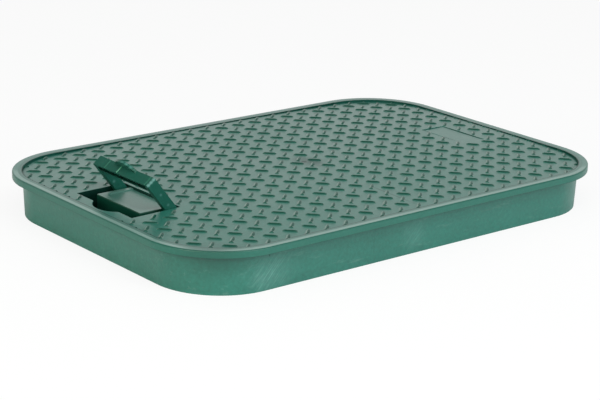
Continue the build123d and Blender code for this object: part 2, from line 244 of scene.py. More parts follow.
# Name, place, target, size, watts, colour
LAMPS = (
    ("left_lamp", (-1.6, -0.5, 0.55), (0, 0, 0), (1.0, 0.8), 12.3, (0.93, 0.98, 0.80)),
    ("front_lamp", (0.35, -1.7, 0.45), (0, 0, 0), (1.2, 0.8), 12.3, (0.74, 0.94, 1.0)),
    ("over_lamp", (-0.34, -0.97, 1.25), (-0.05, -0.05, 0), (1.5, 0.35), 11.0, (1.0, 1.0, 1.0)),
)
CAMERA_PLACE = (-0.88107, -1.06638, 0.43829)
CAMERA_RIGHT = (0.77716, -0.62885, 0.02383)
CAMERA_BACK = (-0.60577, -0.73731, 0.29902)
SENSOR_WIDTH = 36.0
CLIP_START = 0.05


def panel_z(x, y):
    """Height of the crowned panel's surface, in metres."""
    return PANEL_APEX_Z - x * x / (2 * CROWN_RADIUS_X) - y * y / (2 * CROWN_RADIUS_Y)


class VBL_LidSettings(bpy.types.PropertyGroup):
    edge_round: bpy.props.FloatProperty(
        name="Edge round", description="Radius of the moulding's small edges",
        default=0.35 * MM, min=0.0, unit="LENGTH")
    plastic: bpy.props.FloatVectorProperty(
        name="Plastic", description="Colour of the lid's plastic",
        default=(0.0175, 0.134, 0.101), min=0.0, max=1.0, subtype="COLOR")
    # The handle's plastic is set darker than the lid's; part of that darkness is painted shade, for the less
    # light that reaches the handle
    handle_plastic: bpy.props.FloatVectorProperty(
        name="Handle plastic", description="Colour of the handle's plastic",
        default=(0.0075, 0.074, 0.052), min=0.0, max=1.0, subtype="COLOR")
    roughness: bpy.props.FloatProperty(
        name="Roughness", description="Roughness of the moulded skin",
        default=0.32, min=0.0, max=1.0, subtype="FACTOR")


class VBL_TreadSettings(bpy.types.PropertyGroup):
    pitch: bpy.props.FloatProperty(
        name="Pitch", description="Spacing of the crossed bars",
        default=17.8 * MM, unit="LENGTH")
    length: bpy.props.FloatProperty(
        name="Length", description="Length of one bar", default=11.4 * MM, unit="LENGTH")
    width: bpy.props.FloatProperty(
        name="Width", description="Width of one bar", default=3.3 * MM, unit="LENGTH")
    height: bpy.props.FloatProperty(
        name="Height", description="Height of one bar above the panel",
        default=1.0 * MM, unit="LENGTH")
    # The bars' colour is set darker than the panel's as painted shade, for the less light that reaches them
    colour: bpy.props.FloatVectorProperty(
        name="Colour", description="Colour of the bars, darker than the panel",
        default=TREAD_TONE, min=0.0, max=1.0, subtype="COLOR")
    roughness: bpy.props.FloatProperty(
        name="Roughness", description="Roughness of the bars",
        default=0.35, min=0.0, max=1.0, subtype="FACTOR")


class VBL_StageSettings(bpy.types.PropertyGroup):
    floor_colour: bpy.props.FloatVectorProperty(
        name="Floor", description="Colour of the floor",
        default=(0.86, 0.86, 0.86), min=0.0, max=1.0, subtype="COLOR")
    sky_strength: bpy.props.FloatProperty(
        name="Sky", description="Strength of the soft light from all round",
        default=0.55, min=0.0, max=1.0)
    ceiling: bpy.props.FloatProperty(
        name="Ceiling", description="How bright the ceiling looks in reflections",
        default=0.15, min=0.0, max=1.0)
    lens: bpy.props.FloatProperty(
        name="Lens", description="Camera lens for a 36 mm wide frame",
        default=108.02, unit="CAMERA")


def deselect():
    """Leaves edit mode and selects nothing."""
    if bpy.context.object and bpy.context.object.mode != "OBJECT":
        bpy.ops.object.mode_set(mode="OBJECT")
    bpy.ops.object.select_all(action="DESELECT")


def make_active(obj):
    """Selects one object alone."""
    deselect()
    obj.select_set(True)
    bpy.context.view_layer.objects.active = obj


def select_points(obj, test):
    """In edit mode, selects the vertices that pass the test."""
    bpy.ops.object.mode_set(mode="EDIT")
    bpy.ops.mesh.select_mode(type="VERT")
    bpy.ops.mesh.select_all(action="DESELECT")
    bpy.ops.object.mode_set(mode="OBJECT")
    for point in obj.data.vertices:
        point.select = bool(test(point.co))
    bpy.ops.object.mode_set(mode="EDIT")


def apply_modifiers(obj):
    """Applies every modifier in order."""
    make_active(obj)
    for modifier in list(obj.modifiers):
        bpy.ops.object.modifier_apply(modifier=modifier.name)


def replace_material(obj, material):
    """Gives an object one material."""
    obj.data.materials.clear()
    obj.data.materials.append(material)


def mark_creases(obj):
    """Keeps shallow creases sharp where two flat faces meet."""
    low, high = CREASE_ANGLES
    faces = {}
    for polygon in obj.data.polygons:
        for key in polygon.edge_keys:
            faces.setdefault(key, []).append(polygon)
    for edge in obj.data.edges:
        pair = faces.get(edge.key, [])
        if len(pair) != 2:
            continue
        turn = math.degrees(pair[0].normal.angle(pair[1].normal, 0.0))
        if low < turn < high and min(pair[0].area, pair[1].area) > CREASE_MIN_AREA:
            edge.use_edge_sharp = True


def merged_copy(cad_node, name, edge_round, reshape=None):
    """A copy of a CAD node with its facets joined up and its small edges rounded."""
    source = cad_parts[cad_node]
    copy = source.copy()
    copy.data = source.data.copy()
    copy.name = name
    copy.data.name = name
    copy.parent = None
    copy.matrix_world = Matrix.Identity(4)
    bpy.context.scene.collection.objects.link(copy)
    make_active(copy)
    if copy.data.has_custom_normals:
        bpy.ops.mesh.customdata_custom_splitnormals_clear()
    bpy.ops.object.mode_set(mode="EDIT")
    bpy.ops.mesh.select_all(action="SELECT")
    bpy.ops.mesh.remove_doubles(threshold=MERGE_DISTANCE)
    bpy.ops.mesh.dissolve_limited(angle_limit=math.radians(FLAT_ANGLE))
    bpy.ops.object.mode_set(mode="OBJECT")
    if reshape:
        reshape(copy)
    mark_creases(copy)
    if edge_round > 0:
        bevel = copy.modifiers.new("Small edges", "BEVEL")
        bevel.width = edge_round
        bevel.segments = 2
        bevel.limit_method = "ANGLE"
        bevel.angle_limit = math.radians(BEVEL_ANGLE)
        bevel.use_clamp_overlap = True
        apply_modifiers(copy)
    make_active(copy)
    bpy.ops.object.shade_smooth_by_angle(angle=math.radians(SMOOTH_ANGLE), keep_sharp_edges=True)
    weighted = copy.modifiers.new("Even shading", "WEIGHTED_NORMAL")
    weighted.mode = "FACE_AREA"
    weighted.keep_sharp = True
    apply_modifiers(copy)
    return copy


def sink_plate(shell):
    """Sets the blank plate's face a little below the panel, as a shallow recess."""
    half = [side / 2 + PLATE_PICK_MARGIN for side in PLATE_SIZE]
    select_points(shell, lambda co: (
        abs(co.x - PLATE_CENTRE[0]) < half[0] and abs(co.y - PLATE_CENTRE[1]) < half[1]
        and co.z > panel_z(co.x, co.y) + PLATE_PICK_RISE))
    bpy.ops.transform.translate(value=(0.0, 0.0, -PLATE_SINK))
    bpy.ops.object.mode_set(mode="OBJECT")


# Shader node helpers

def feed(tree, value, socket):
    """Wires an output to an input socket, or sets the socket's own value."""
    if isinstance(value, bpy.types.NodeSocket):
        tree.links.new(value, socket)
    else:
        socket.default_value = value


def node(tree, kind, sockets=None, **settings):
    """Adds a node, sets its attributes, and feeds its sockets by name."""
    item = tree.nodes.new(kind)
    for key, value in settings.items():
        setattr(item, key, value)
    for key, value in (sockets or {}).items():
        feed(tree, value, item.inputs[key])
    return item


def maths(tree, operation, *values, **settings):
    """The result of a Math node."""
    item = node(tree, "ShaderNodeMath", operation=operation, **settings)
    for index, value in enumerate(values):
        feed(tree, value, item.inputs[index])
    return item.outputs["Value"]


def vectors(tree, operation, *values):
    """The result of a Vector Math node."""
    item = node(tree, "ShaderNodeVectorMath", operation=operation)
    for index, value in enumerate(values):
        feed(tree, value, item.inputs[index])
    return item.outputs["Value" if operation in ("LENGTH", "DOT_PRODUCT") else "Vector"]


def here(tree):
    """Object coordinates."""
    return node(tree, "ShaderNodeTexCoord").outputs["Object"]


def noise(tree, place, scale, detail, roughness=0.5):
    """Noise from 0 to 1."""
    return node(tree, "ShaderNodeTexNoise", {
        "Vector": place, "Scale": scale, "Detail": detail, "Roughness": roughness}).outputs["Fac"]


def ramp(tree, value, low, high):
    """A smooth step from 0 at low to 1 at high; the other way round where low is above high."""
    ends = {"From Min": min(low, high), "From Max": max(low, high)}
    if low > high:
        ends.update({"To Min": 1.0, "To Max": 0.0})
    step = node(tree, "ShaderNodeMapRange", {"Value": value, **ends}, interpolation_type="SMOOTHSTEP")
    return step.outputs["Result"]


def product(tree, masks):
    """Several masks or shares multiplied together."""
    result = masks[0]
    for mask in masks[1:]:
        result = maths(tree, "MULTIPLY", result, mask)
    return result


def largest(tree, masks):
    """The largest of several masks at each place."""
    result = masks[0]
    for mask in masks[1:]:
        result = maths(tree, "MAXIMUM", result, mask)
    return result


def less(tree, whole, part):
    """A mask with another cut out of it."""
    return maths(tree, "SUBTRACT", whole, part, use_clamp=True)


def overlay(tree, shade, mask, colour):
    """Mixes a colour over a shade by a mask."""
    return node(tree, "ShaderNodeMix", {
        "Factor": mask, "A": shade, "B": (*colour, 1.0)}, data_type="RGBA").outputs["Result"]


def between(tree, value, low, high, blur):
    """1 where a value lies between two limits, blurred at both."""
    return product(tree, [ramp(tree, value, low - blur, low), ramp(tree, value, high + blur, high)])


def zone(tree, measures, limits, *shares):
    """A mask of the places within every limit: measure, mask is 0 at, mask is 1 at, in millimetres."""
    steps = [ramp(tree, measures[name], start * MM, full * MM) for name, start, full in limits]
    return product(tree, steps + list(shares))


NODE_GAP = 240


def arrange(tree, last):
    """Sets a tree's nodes out in columns, back along its links from the last node."""
    feeds = {}
    for link in tree.links:
        feeds.setdefault(link.to_node.name, []).append(link.from_node.name)
    columns = {}
    visits = [(last.name, 0)]
    while visits:
        name, column = visits.pop()
        if columns.get(name, -1) < column:
            columns[name] = column
            visits.extend((source, column + 1) for source in feeds.get(name, ()))
    rows = {}
    for name, column in columns.items():
        row = rows.get(column, 0)
        rows[column] = row + 1
        tree.nodes[name].location = (-NODE_GAP * column, -NODE_GAP * row)


def new_group(name, inputs, outputs):
    """An empty shader node group with named sockets: the group, what comes in, and its end."""
    group = bpy.data.node_groups.new(name, "ShaderNodeTree")
    for label, kind, default in inputs:
        socket = group.interface.new_socket(label, in_out="INPUT", socket_type="NodeSocket" + kind)
        if default is not None:
            socket.default_value = default
    for label, kind in outputs:
        group.interface.new_socket(label, in_out="OUTPUT", socket_type="NodeSocket" + kind)
    return group, node(group, "NodeGroupInput").outputs, node(group, "NodeGroupOutput")


def moulded_group():
    """Moulded plastic: clouds and specks of pigment, a fine grain and light scratches."""
    found = bpy.data.node_groups.get("Moulded skin")
    if found:
        return found
    group, given, end = new_group("Moulded skin", (
        ("Colour", "Color", (0.05, 0.15, 0.1, 1.0)),
        ("Roughness", "Float", 0.4),
        ("Mottle", "Float", 0.1),
        ("Scuff", "Float", 0.1),
        ("Grain", "Float", 0.1),
        ("Speckle", "Float", 0.1),
    ), (("Colour", "Color"), ("Roughness", "Float"), ("Height", "Float")))
    place = here(group)
    drawn_out = node(group, "ShaderNodeMapping", {
        "Vector": place, "Scale": (30.0, 160.0, 200.0), "Rotation": (0.0, 0.5, 0.6)}).outputs["Vector"]
    scratched = node(group, "ShaderNodeMapRange", {
        "Value": noise(group, drawn_out, 1.0, 6.0, 0.75), "From Min": 0.58, "From Max": 0.80,
    }).outputs["Result"]
    scuffs = maths(group, "MULTIPLY", scratched, given["Scuff"])
    # Darker and lighter clouds and specks of pigment, about a mean of 1
    clouds = maths(group, "SUBTRACT", noise(group, place, 14.0, 5.0, 0.6), 0.5)
    swing = maths(group, "MULTIPLY", clouds, given["Mottle"])
    level = maths(group, "ADD", swing, 1.0)
    specks = maths(group, "SUBTRACT", noise(group, place, 420.0, 2.0), 0.5)
    level = maths(group, "MULTIPLY_ADD", specks, given["Speckle"], level)
    tinted = node(group, "ShaderNodeVectorMath", {
        "Vector": given["Colour"], "Scale": level}, operation="SCALE").outputs["Vector"]
    feed(group, overlay(group, tinted, scuffs, SCRATCH_TONE), end.inputs["Colour"])
    # Roughness follows the clouds and the scratches
    rough = maths(group, "MULTIPLY_ADD", swing, 0.6, given["Roughness"])
    rough = maths(group, "MULTIPLY_ADD", scuffs, 0.35, rough, use_clamp=True)
    feed(group, rough, end.inputs["Roughness"])
    grain = maths(group, "MULTIPLY", noise(group, place, 900.0, 3.0), given["Grain"])
    feed(group, grain, end.inputs["Height"])
    arrange(group, end)
    return group


def spot_group():
    """A soft-edged spot: 1 at its centre, 0 past its half sizes; a high power squares it up."""
    found = bpy.data.node_groups.get("Soft spot")
    if found:
        return found
    group, given, end = new_group("Soft spot", (
        ("Centre", "Vector", None),
        ("Half size", "Vector", None),
        ("Power", "Float", 2.0),
        ("Hard", "Float", 0.5),
        ("Strength", "Float", 1.0),
        ("Ragged", "Float", 0.0),
    ), (("Mask", "Float"),))
    place = here(group)
    offset = vectors(group, "SUBTRACT", place, given["Centre"])
    scaled = vectors(group, "DIVIDE", offset, given["Half size"])
    split = node(group, "ShaderNodeSeparateXYZ", {"Vector": vectors(group, "ABSOLUTE", scaled)})
    total = None
    for axis in "XYZ":
        raised = maths(group, "POWER", split.outputs[axis], given["Power"])
        total = raised if total is None else maths(group, "ADD", total, raised)
    distance = maths(group, "POWER", total, maths(group, "DIVIDE", 1.0, given["Power"]))
    wander = maths(group, "SUBTRACT", noise(group, place, 160.0, 4.0), 0.5)
    fall = node(group, "ShaderNodeMapRange", {
        "Value": maths(group, "MULTIPLY_ADD", wander, given["Ragged"], distance),
        "From Min": given["Hard"], "From Max": 1.0, "To Min": 1.0, "To Max": 0.0,
    }, interpolation_type="SMOOTHSTEP").outputs["Result"]
    feed(group, maths(group, "MULTIPLY", fall, given["Strength"]), end.inputs["Mask"])
    arrange(group, end)
    return group


def outline_group():
    """Distance past a rounded rectangle about the Z axis, on Object coordinates."""
    found = bpy.data.node_groups.get("Outline distance")
    if found:
        return found
    group, given, end = new_group(
        "Outline distance", (("Core", "Vector", None), ("Radius", "Float", None)), (("Distance", "Float"),))
    past = vectors(group, "SUBTRACT", vectors(group, "ABSOLUTE", here(group)), given["Core"])
    length = vectors(group, "LENGTH", vectors(group, "MAXIMUM", past, (0.0, 0.0, 0.0)))
    feed(group, maths(group, "SUBTRACT", length, given["Radius"]), end.inputs["Distance"])
    arrange(group, end)
    return group


def crown_group():
    """Height above the crowned panel's surface, on Object coordinates."""
    found = bpy.data.node_groups.get("Height above crown")
    if found:
        return found
    group, given, end = new_group("Height above crown", (("Apex", "Float", None),), (("Height", "Float"),))
    place = here(group)
    squared = vectors(group, "MULTIPLY", place, place)
    sag = vectors(group, "DOT_PRODUCT", squared, (0.5 / CROWN_RADIUS_X, 0.5 / CROWN_RADIUS_Y, 0.0))
    z = node(group, "ShaderNodeSeparateXYZ", {"Vector": place}).outputs["Z"]
    height = maths(group, "SUBTRACT", maths(group, "ADD", z, sag), given["Apex"])
    feed(group, height, end.inputs["Height"])
    arrange(group, end)
    return group


def add_spots(tree, shade, marks, colour, share=None):
    """Lays a table of soft spots over a shade: the new shade, and the spots' masks."""
    masks = []
    for label, centre, half, power, hard, strength, ragged in marks:
        spot = node(tree, "ShaderNodeGroup", {
            "Centre": [value * MM for value in centre],
            "Half size": [value * MM for value in half],
            "Power": power, "Hard": hard, "Strength": strength, "Ragged": ragged,
        }, node_tree=spot_group(), label=label)
        mask = spot.outputs["Mask"]
        if share is not None:
            mask = product(tree, [mask, share])
        shade = overlay(tree, shade, mask, colour)
        masks.append(mask)
    return shade, masks


def lid_shade_and_highlights(tree, shade):
    """Painted shade and highlights that follow the lid's form: the new shade, and the masks of the dull
    places.
    """
    place = here(tree)
    split = node(tree, "ShaderNodeSeparateXYZ", {"Vector": place})
    x, y, z = (split.outputs[axis] for axis in "XYZ")
    distance = node(tree, "ShaderNodeGroup", {
        "Core": (PANEL_HALF[0] - PANEL_CORNER, PANEL_HALF[1] - PANEL_CORNER, 1.0), "Radius": PANEL_CORNER,
    }, node_tree=outline_group()).outputs["Distance"]
    height = node(
        tree, "ShaderNodeGroup", {"Apex": PANEL_APEX_Z}, node_tree=crown_group()).outputs["Height"]

    # Painted shade where the treads stand, but not on the plate
    half = [side / 2 + PLATE_TONE_MARGIN for side in PLATE_SIZE]
    plate = product(tree, [
        between(tree, x, PLATE_CENTRE[0] - half[0], PLATE_CENTRE[0] + half[0], ZONE_BLUR),
        between(tree, y, PLATE_CENTRE[1] - half[1], PLATE_CENTRE[1] + half[1], ZONE_BLUR),
    ])
    on_tread = less(tree, ramp(tree, height, *TREAD_TONE_RISE), plate)
    inside = ramp(tree, distance, *TREAD_TONE_INSIDE)
    shade = overlay(tree, shade, product(tree, [inside, on_tread, TREAD_TONE_SHARE]), TREAD_TONE)

    # Painted shade on the rim's wall, foot and edge, and on the lip; a painted highlight on the rim's top,
    # palest along the two near sides
    measures = {PAST_OUTLINE: distance, UP: z}
    masks = {}
    for name, limits, strength, tone in RIM_SHADES:
        masks[name] = zone(tree, measures, limits, strength)
        shade = overlay(tree, shade, masks[name], tone)
    rim_top = zone(tree, measures, RIM_TOP)
    near_sides = largest(tree, [ramp(tree, x, *NEAR_END_X), ramp(tree, y, *NEAR_SIDE_Y)])
    shade = overlay(tree, shade, product(tree, [rim_top, RIM_TOP_HIGHLIGHT_SHARE]), RIM_TOP_HIGHLIGHT_TONE)
    shade = overlay(tree, shade, product(tree, [rim_top, near_sides, NEAR_RIM_HIGHLIGHT_SHARE]), RIM_TOP_HIGHLIGHT_TONE)

    # Painted shade makes the well's walls and floor near black and the tongue's sides dark green; painted
    # highlights make the tongue's top and border pale
    well = product(tree, [
        between(tree, x, WELL_NEAR_X, WELL_BACK_X + WELL_MARGIN, ZONE_BLUR),
        between(tree, y, -WELL_HALF_WIDTH - WELL_MARGIN, WELL_HALF_WIDTH + WELL_MARGIN, ZONE_BLUR),
        ramp(tree, z, *WELL_FLOOR_STEP),
        ramp(tree, height, *WELL_BELOW_CROWN),
    ])
    tongue = product(tree, [
        between(tree, x, TONGUE_FRONT_X - WELL_MARGIN, WELL_BACK_X - TONGUE_BACK_GAP, ZONE_BLUR),
        between(tree, y, -TONGUE_HALF_WIDTH - WELL_MARGIN, TONGUE_HALF_WIDTH + WELL_MARGIN, ZONE_BLUR),
    ])
    front_or_flank = largest(tree, [
        ramp(tree, value, side + TONGUE_SKIN[0], side + TONGUE_SKIN[1])
        for value, side in ((x, TONGUE_FRONT_X), (y, -TONGUE_HALF_WIDTH))
    ])
    below_top = ramp(tree, z, TONGUE_TOP_Z, TONGUE_TOP_Z - TONGUE_SIDE_BELOW)
    front = product(tree, [tongue, front_or_flank, below_top, TONGUE_SIDE_SHARE])
    depth = product(tree, [less(tree, well, tongue), WELL_SHARE])
    top, raised = (
        product(tree, [tongue, ramp(tree, z, TONGUE_TOP_Z - start, TONGUE_TOP_Z - full)])
        for start, full in (TONGUE_TOP_BAND, TONGUE_BORDER_BAND)
    )
    shade = overlay(tree, shade, depth, WELL_SHADE_TONE)
    shade = overlay(tree, shade, front, TONGUE_SIDE_SHADE_TONE)
    shade = overlay(tree, shade, product(tree, [top, TONGUE_TOP_SHARE]), TONGUE_TOP_HIGHLIGHT_TONE)
    shade = overlay(tree, shade, product(tree, [raised, TONGUE_BORDER_SHARE]), TONGUE_BORDER_HIGHLIGHT_TONE)

    # Recesses shine less, since little light reaches them, and the skirt is duller than the top
    skirt = zone(tree, measures, SKIRT, SKIRT_DULLNESS)
    dull = [depth, front, masks["wall"], skirt, masks["crease"], masks["foot"], masks["lip_side"]]
    return shade, dull


def lid_marks_and_light(tree, shade):
    """The lid's painted shade and highlights, and its gate mark, blush, flow line, nick, sink line and
    patches of fine scratches.
    """
    shade, dull = lid_shade_and_highlights(tree, shade)
    drawn_out = node(tree, "ShaderNodeMapping", {
        "Vector": here(tree), "Rotation": (0.0, math.radians(-50), 0.0), "Scale": (1 / 60, 1 / 20, 1 / 900),
    }, vector_type="TEXTURE").outputs["Vector"]
    scratches = node(tree, "ShaderNodeMapRange", {
        "Value": noise(tree, drawn_out, 1.0, 3.0), "From Min": 0.45, "From Max": 0.72, "To Min": 0.25,
    }).outputs["Result"]
    shade, dark = add_spots(tree, shade, DARK_MARKS_AND_SHADES, DARK_MARK_AND_SHADE_TONE)
    shade, _ = add_spots(tree, shade, PALE_MARKS_AND_HIGHLIGHTS, PALE_MARK_AND_HIGHLIGHT_TONE, scratches)
    return shade, largest(tree, dull + dark)


def handle_shade_and_highlights(tree, shade):
    """Painted shade in the channel along the crossbar's underside, and painted highlights on the handle."""
    raised = math.radians(REST_ANGLE)
    place = here(tree)
    from_hinge = vectors(tree, "SUBTRACT", place, HINGE)
    along = vectors(tree, "DOT_PRODUCT", from_hinge, (-math.cos(raised), 0.0, math.sin(raised)))
    through = vectors(tree, "DOT_PRODUCT", from_hinge, (math.sin(raised), 0.0, math.cos(raised)))
    y = node(tree, "ShaderNodeSeparateXYZ", {"Vector": place}).outputs["Y"]
    channel = product(tree, [
        between(tree, along, HANDLE_REACH - CHANNEL_BACK[0], HANDLE_REACH - CHANNEL_BACK[1], CHANNEL_BLUR),
        between(tree, y, -CHANNEL_HALF_WIDTH, CHANNEL_HALF_WIDTH, ZONE_BLUR),
        ramp(tree, through, *CHANNEL_DEPTH),
        CHANNEL_SHARE,
    ])
    # Painted shade in the channel, then painted highlights
    shade = overlay(tree, shade, channel, CHANNEL_SHADE_TONE)
    shade, _ = add_spots(tree, shade, HANDLE_HIGHLIGHTS, HANDLE_HIGHLIGHT_TONE)
    return shade, channel


def tread_light_and_shade(tree, shade):
    """A painted highlight and painted shade on the two flanks of the bars turned one way, and painted shade
    on the near flank of those that cross them.
    """
    facing = node(tree, "ShaderNodeTexCoord").outputs["Normal"]
    masks = {}
    for name, direction, start, full, strength, tone in LIT_AND_SHADED_FLANKS:
        turned = vectors(tree, "DOT_PRODUCT", facing, direction)
        masks[name] = product(tree, [ramp(tree, turned, start, full), strength])
        shade = overlay(tree, shade, masks[name], tone)
    return shade, masks["dark"]


def plastic(name, colour, roughness, mottle, scuff, grain, gloss=0.5, speckle=0.3, marks=None):
    """A moulded plastic material; marks lays a piece's own marks, painted shade and highlights over it and
    says where it is dull.
    """
    found = bpy.data.materials.get(name)
    if found:
        return found
    material = bpy.data.materials.new(name)
    material.use_nodes = True
    tree = material.node_tree
    tree.nodes.clear()
    skin = node(tree, "ShaderNodeGroup", {
        "Colour": (*colour, 1.0), "Roughness": roughness, "Mottle": mottle,
        "Scuff": scuff, "Grain": grain, "Speckle": speckle,
    }, node_tree=moulded_group()).outputs
    shade = skin["Colour"]
    shine = gloss
    if marks:
        shade, dull = marks(tree, shade)
        shine = maths(tree, "MULTIPLY_ADD", dull, -DULLING * gloss, gloss)
    bump = node(tree, "ShaderNodeBump", {
        "Strength": GRAIN_STRENGTH, "Distance": GRAIN_DEPTH, "Height": skin["Height"]})
    surface = node(tree, "ShaderNodeBsdfPrincipled", {
        "Base Color": shade, "Roughness": skin["Roughness"], "IOR": 1.5,
        "Specular IOR Level": shine, "Normal": bump.outputs["Normal"],
    })
    out = node(tree, "ShaderNodeOutputMaterial", {"Surface": surface.outputs["BSDF"]})
    arrange(tree, out)
    return material


class VBL_OT_shell(bpy.types.Operator):
    """Dress the lid's shell: rounded small edges and moulded plastic with its marks, painted shade and
    highlights
    """
    bl_idname = "vbl.shell"
    bl_label = "Lid shell"

    def execute(self, context):
        settings = context.scene.vbl_lid
        shell = merged_copy("lid", "lid_shell", settings.edge_round, reshape=sink_plate)
        replace_material(shell, plastic(
            "lid_green", settings.plastic, settings.roughness, mottle=0.25, scuff=0.25, grain=0.6,
            gloss=0.84, speckle=0.5, marks=lid_marks_and_light))
        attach(shell, "lid")
        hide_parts("lid")
        return {"FINISHED"}


def inside_outline(x, y):
    """Whether a place lies inside the panel's rounded outline."""
    dx = max(abs(x) - (PANEL_HALF[0] - PANEL_CORNER), 0.0)
    dy = max(abs(y) - (PANEL_HALF[1] - PANEL_CORNER), 0.0)
    return math.hypot(dx, dy) <= PANEL_CORNER


def keeps_clear(x, y, reach):
    """Whether a bar at this place stands off the well, the notch in front of it and the plate."""
    gap = reach + BAR_WELL_GAP
    near_well = WELL_FRONT_X - reach < x < WELL_BACK_X + gap and abs(y) < WELL_HALF_WIDTH + gap
    near_notch = x < WELL_FRONT_X and abs(y - NOTCH_Y) < BAR_NOTCH_GAP
    near_plate = (
        abs(x - PLATE_CENTRE[0]) < PLATE_SIZE[0] / 2 + BAR_PLATE_GAP
        and abs(y - PLATE_CENTRE[1]) < PLATE_SIZE[1] / 2 + BAR_PLATE_GAP
    )
    return not near_well and not near_notch and not near_plate


def on_panel(x, y):
    """Whether a place lies on the panel and not in the well."""
    in_well = WELL_FRONT_X - BAR_FRONT_GAP < x < WELL_BACK_X and abs(y) < WELL_HALF_WIDTH
    return inside_outline(x, y) and not in_well


def tread_places(pitch, length):
    """Places of the crossed bars: x, y, turn about Z, and the ends of the part that shows."""
    half = length / 2
    reach = half * math.sqrt(0.5)
    places = []
    for column in BAR_COLUMNS:
        for row in BAR_ROWS:
            for shift_x, shift_y, turn in ((pitch / 2, 0.0, -45.0), (0.0, pitch / 2, 45.0)):
                x = column * pitch + shift_x
                y = row * pitch + shift_y
                if not keeps_clear(x, y, reach):
                    continue
                angle = math.radians(turn)
                shown = []
                for step in range(BAR_STEPS + 1):
                    along = half * (2 * step / BAR_STEPS - 1)
                    if on_panel(x + along * math.cos(angle), y + along * math.sin(angle)):
                        shown.append(along)
                if shown and shown[-1] - shown[0] > BAR_SHORTEST:
                    places.append((x, y, angle, shown[0], shown[-1]))
    return places


def model_bar(length, width, height):
    """One rounded bar along X, its foot a little below the XY plane."""
    deselect()
    bpy.ops.mesh.primitive_circle_add(vertices=BAR_SIDES, radius=0.5, fill_type="NGON", location=(0, 0, 0))
    bar = bpy.context.object
    bpy.ops.object.mode_set(mode="EDIT")
    bpy.ops.mesh.select_all(action="SELECT")
    bpy.ops.transform.rotate(value=math.radians(90), orient_axis="Z", center_override=(0, 0, 0))
    bpy.ops.transform.resize(value=(length * BAR_BODY, width, 1.0), center_override=(0, 0, 0))
    bpy.ops.transform.translate(value=(0, 0, -BAR_ROOT))
    select_points(bar, lambda co: abs(co.x) > length * BAR_TIP_FROM)
    bpy.ops.transform.resize(value=(BAR_TIP, 1.0, 1.0), center_override=(0, 0, 0))
    bpy.ops.mesh.select_all(action="SELECT")
    root = BAR_ROOT
    for share, long_way, cross_way in BAR_LEVELS:
        rise = root + height * share
        bpy.ops.mesh.extrude_region_move(TRANSFORM_OT_translate={"value": (0, 0, rise)})
        bpy.ops.transform.resize(value=(long_way, cross_way, 1.0), center_override=(0, 0, 0))
        root = 0.0
    bpy.ops.mesh.select_all(action="SELECT")
    bpy.ops.mesh.normals_make_consistent(inside=False)
    bpy.ops.object.mode_set(mode="OBJECT")
    return bar


class VBL_OT_treads(bpy.types.Operator):
    """Model one rounded tread bar and set copies of it over the panel"""
    bl_idname = "vbl.treads"
    bl_label = "Treads"

    def execute(self, context):
        settings = context.scene.vbl_treads
        bar = model_bar(settings.length, settings.width, settings.height)
        copies = []
        for x, y, turn, first, last in tread_places(settings.pitch, settings.length):
            copy = bar.copy()
            copy.data = bar.data.copy()
            share = (last - first) / settings.length
            copy.matrix_world = (
                Matrix.Translation((x, y, panel_z(x, y)))
                @ Matrix.Rotation(-y / CROWN_RADIUS_Y, 4, "X")
                @ Matrix.Rotation(x / CROWN_RADIUS_X, 4, "Y")
                @ Matrix.Rotation(turn, 4, "Z")
                @ Matrix.Translation(((first + last) / 2, 0, -STUB_SINK if share < STUB_SHARE else 0))
                @ Matrix.Diagonal((share, 1.0, 1.0, 1.0))
            )
            context.scene.collection.objects.link(copy)
            copies.append(copy)
        bpy.data.objects.remove(bar)
        deselect()
        for copy in copies:
            copy.select_set(True)
        context.view_layer.objects.active = copies[0]
        bpy.ops.object.join()
        treads = context.object
        treads.name = "treads"
        treads.data.name = "treads"
        bpy.ops.object.transform_apply(location=True, rotation=True, scale=True)
        bpy.ops.object.shade_smooth_by_angle(angle=math.radians(BAR_SMOOTH_ANGLE))
        replace_material(treads, plastic(
            "tread_green", settings.colour, settings.roughness, mottle=0.2, scuff=0.15, grain=0.3,
            gloss=0.4, marks=tread_light_and_shade))
        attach(treads, "lid")
        return {"FINISHED"}


def handle_matrix():
    """Places local X along the raised handle, Y along its hinge and Z towards its top face."""
    raised = math.radians(REST_ANGLE)
    return Matrix((
        (-math.cos(raised), 0.0, math.sin(raised), HINGE[0]),
        (0.0, 1.0, 0.0, HINGE[1]),
        (math.sin(raised), 0.0, math.cos(raised), HINGE[2]),
        (0.0, 0.0, 0.0, 1.0),
    ))


def finish_mesh(obj, name):
    """Names a piece, puts its place in its mesh and smooths its soft edges."""
    make_active(obj)
    bpy.ops.object.transform_apply(location=True, rotation=True, scale=True)
    bpy.ops.object.mode_set(mode="EDIT")
    bpy.ops.mesh.select_all(action="SELECT")
    bpy.ops.mesh.normals_make_consistent(inside=False)
    bpy.ops.object.mode_set(mode="OBJECT")
    bpy.ops.object.shade_smooth_by_angle(angle=math.radians(SMOOTH_ANGLE))
    obj.name = name
    obj.data.name = name


